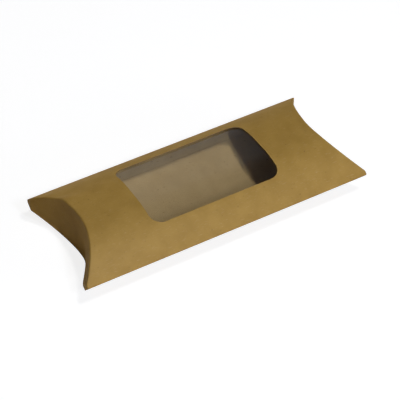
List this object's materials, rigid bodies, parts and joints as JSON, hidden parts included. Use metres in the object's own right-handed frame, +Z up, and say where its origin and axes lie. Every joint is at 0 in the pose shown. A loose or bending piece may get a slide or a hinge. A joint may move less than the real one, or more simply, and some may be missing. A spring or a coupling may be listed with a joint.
{
  "type": "pillow box",
  "caption": "Kraft board pillow box for a wrap: arched panels, straight side folds, concave ends closed by hinged flaps and a clear film window in the top panel.",
  "frame": {"origin": "on the surface that the box stands on, under the middle of the bottom panel's flat crown", "axes": "+X along the box towards its right end, +Y towards the back fold with the glued seam, +Z up through the window"},
  "size_m": [0.2014, 0.088, 0.034],
  "materials": {
    "kraft": "uncoated brown kraft, faintly fibrous",
    "kraft_inside": "uncoated brown kraft",
    "film": "clear, glossy",
    "glue": "thin dried glue"
  },
  "bodies": {
    "tube": {"top_panel": "kraft", "bottom_panel": "kraft", "seam_flap": "kraft_inside", "seam_glue": "glue", "window_film": "film", "film_glue": "glue"},
    "left_outer": {"left_outer_flap": "kraft"},
    "left_inner": {"left_inner_flap": "kraft_inside"},
    "right_outer": {"right_outer_flap": "kraft"},
    "right_inner": {"right_inner_flap": "kraft_inside"}
  },
  "joints": [
    {"name": "left_outer_crease", "type": "hinge", "parent": "tube", "child": "left_outer", "pos_m": [-0.08375, 0, 0.034], "axis": [0, 1, 0], "range_deg": [0, 90]},
    {"name": "left_inner_crease", "type": "hinge", "parent": "tube", "child": "left_inner", "pos_m": [-0.0831, 0, 0], "axis": [0, -1, 0], "range_deg": [0, 72]},
    {"name": "right_outer_crease", "type": "hinge", "parent": "tube", "child": "right_outer", "pos_m": [0.08375, 0, 0.034], "axis": [0, -1, 0], "range_deg": [0, 90]},
    {"name": "right_inner_crease", "type": "hinge", "parent": "tube", "child": "right_inner", "pos_m": [0.0831, 0, 0], "axis": [0, 1, 0], "range_deg": [0, 72]}
  ],
  "couplings": [
    {"joint": "left_inner_crease", "follows": "left_outer_crease", "ratio": 0.8},
    {"joint": "right_inner_crease", "follows": "right_outer_crease", "ratio": 0.8}
  ]
}
